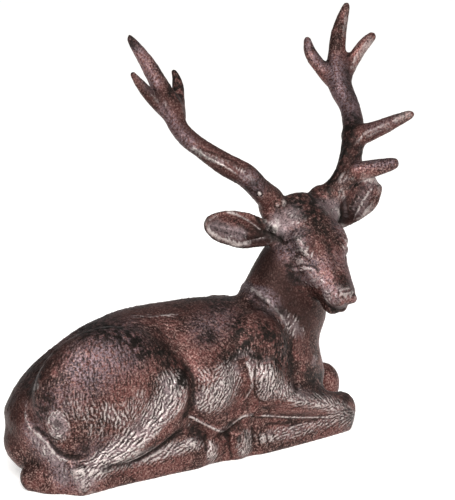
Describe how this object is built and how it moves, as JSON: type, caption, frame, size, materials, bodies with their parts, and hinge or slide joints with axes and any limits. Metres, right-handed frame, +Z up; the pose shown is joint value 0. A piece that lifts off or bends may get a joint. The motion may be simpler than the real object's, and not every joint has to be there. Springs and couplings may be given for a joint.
{
  "type": "deer ornament",
  "caption": "Cast-iron figure of a resting stag with folded legs, its head turned to one side, and tall branching antlers.",
  "frame": {"origin": "under the middle of the figure, on the flat underside", "axes": "+X along the body towards the forelegs, +Y to the figure's left, +Z up to the antler tips"},
  "size_m": [0.2926, 0.1146, 0.26],
  "materials": {
    "painted_cast_iron": "rusty reddish-brown paint over rough cast iron, dark in the hollows, rubbed pale on the high places"
  },
  "bodies": {
    "root": {"deer": "painted_cast_iron"}
  },
  "joints": []
}
